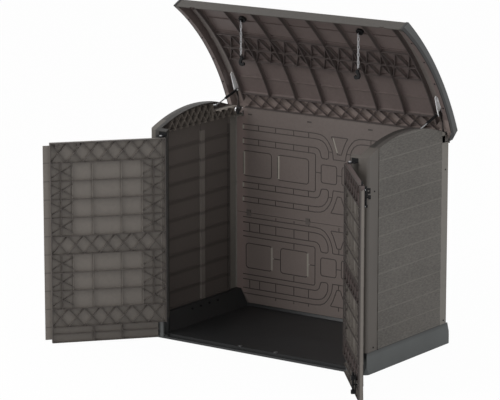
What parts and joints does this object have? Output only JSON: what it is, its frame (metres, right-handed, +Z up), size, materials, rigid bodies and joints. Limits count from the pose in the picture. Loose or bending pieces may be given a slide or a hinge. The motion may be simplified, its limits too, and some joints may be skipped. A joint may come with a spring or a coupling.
{
  "type": "outdoor bin store",
  "caption": "Moulded garden store for wheeled bins: ribbed tray, arched side walls, double doors with bolts, and an arched lid on struts with chains to lift the bins' lids.",
  "frame": {"origin": "centre of the tray's underside, on the ground", "axes": "+X to the right along the front, -Y towards the doors, +Y towards the back wall, +Z up"},
  "size_m": [2.0242, 1.3377, 1.8078],
  "materials": {
    "shell": "brown-grey resin with an embossed wood grain",
    "tray": "dark grey resin, fine grain",
    "trim": "dark grey resin, fine grain",
    "fittings": "black moulded plastic",
    "steel_black": "black coated steel",
    "steel": "zinc-plated steel"
  },
  "bodies": {
    "base": {"base_tray": "tray", "sill_sockets": "steel", "rail_screws": "fittings", "left_side_wall": "shell", "right_side_wall": "shell", "left_front_post": "shell", "right_front_post": "shell", "left_rear_post": "shell", "right_rear_post": "shell", "back_panel_lower": "shell", "back_panel_upper": "shell", "panel_clips": "shell", "post_screws": "steel_black", "left_door_bracket": "steel_black", "right_door_bracket": "steel_black", "left_top_pin": "steel", "right_top_pin": "steel", "left_hinge_foot": "steel_black", "right_hinge_foot": "steel_black", "left_lid_hinge": "steel", "right_lid_hinge": "steel", "left_hinge_pin": "steel", "right_hinge_pin": "steel", "left_strut_stud": "steel", "right_strut_stud": "steel"},
    "lid": {"lid_panel": "shell", "left_lid_trim": "trim", "right_lid_trim": "trim", "trim_screws": "steel_black", "left_lid_arm": "steel_black", "right_lid_arm": "steel_black", "left_strut_bracket": "steel", "right_strut_bracket": "steel", "left_chain_anchor": "fittings", "right_chain_anchor": "fittings"},
    "left_door": {"left_door": "shell", "door_keepers": "shell"},
    "right_door": {"right_door": "shell", "latch_body": "fittings", "latch_screws": "steel", "bolt_housing": "fittings"},
    "top_latch": {"latch_bar": "steel_black"},
    "drop_bolt": {"bottom_bolt": "steel_black"},
    "left_chain": {"left_chain": "steel", "left_hook": "steel_black"},
    "right_chain": {"right_chain": "steel", "right_hook": "steel_black"},
    "left_tube": {"left_strut_tube": "steel_black"},
    "left_rod": {"left_strut_rod": "steel"},
    "right_tube": {"right_strut_tube": "steel_black"},
    "right_rod": {"right_strut_rod": "steel"}
  },
  "joints": [
    {"name": "lid_hinge", "type": "hinge", "parent": "base", "child": "lid", "pos_m": [0, 0.384, 1.145], "axis": [1, 0, 0], "range_deg": [0, 52]},
    {"name": "left_door_hinge", "type": "hinge", "parent": "base", "child": "left_door", "pos_m": [-0.607, -0.42, 0.5], "axis": [0, 0, 1], "range_deg": [0, 131]},
    {"name": "right_door_hinge", "type": "hinge", "parent": "base", "child": "right_door", "pos_m": [0.607, -0.42, 0.5], "axis": [0, 0, -1], "range_deg": [0, 131]},
    {"name": "top_latch_slide", "type": "slide", "parent": "right_door", "child": "top_latch", "axis": [0, 0, -1], "range_m": [0, 0.025]},
    {"name": "drop_bolt_slide", "type": "slide", "parent": "right_door", "child": "drop_bolt", "axis": [0, 0, -1], "range_m": [0, 0.02]},
    {"name": "left_chain_swing", "type": "hinge", "parent": "lid", "child": "left_chain", "pos_m": [-0.378, -0.00125, 1.70695], "axis": [1, 0, 0], "range_deg": [-52, 0]},
    {"name": "right_chain_swing", "type": "hinge", "parent": "lid", "child": "right_chain", "pos_m": [0.378, -0.00125, 1.70695], "axis": [1, 0, 0], "range_deg": [-52, 0]},
    {"name": "left_strut_turn", "type": "hinge", "parent": "lid", "child": "left_tube", "pos_m": [-0.656, 0.34701, 1.25569], "axis": [1, 0, 0], "range_deg": [-74.3, 0]},
    {"name": "right_strut_turn", "type": "hinge", "parent": "lid", "child": "right_tube", "pos_m": [0.656, 0.34701, 1.25569], "axis": [1, 0, 0], "range_deg": [-74.3, 0]},
    {"name": "left_strut_slide", "type": "slide", "parent": "left_tube", "child": "left_rod", "axis": [0, 0.9574, 0.2886], "range_m": [0, 0.0813]},
    {"name": "right_strut_slide", "type": "slide", "parent": "right_tube", "child": "right_rod", "axis": [0, 0.9574, 0.2886], "range_m": [0, 0.0813]}
  ],
  "couplings": [
    {"joint": "left_chain_swing", "follows": "lid_hinge", "ratio": -1},
    {"joint": "right_chain_swing", "follows": "lid_hinge", "ratio": -1},
    {"joint": "left_strut_turn", "follows": "lid_hinge", "ratio": -1.4281},
    {"joint": "right_strut_turn", "follows": "lid_hinge", "ratio": -1.4281},
    {"joint": "left_strut_slide", "follows": "lid_hinge", "m_per_rad": 0.08951},
    {"joint": "right_strut_slide", "follows": "lid_hinge", "m_per_rad": 0.08951}
  ]
}
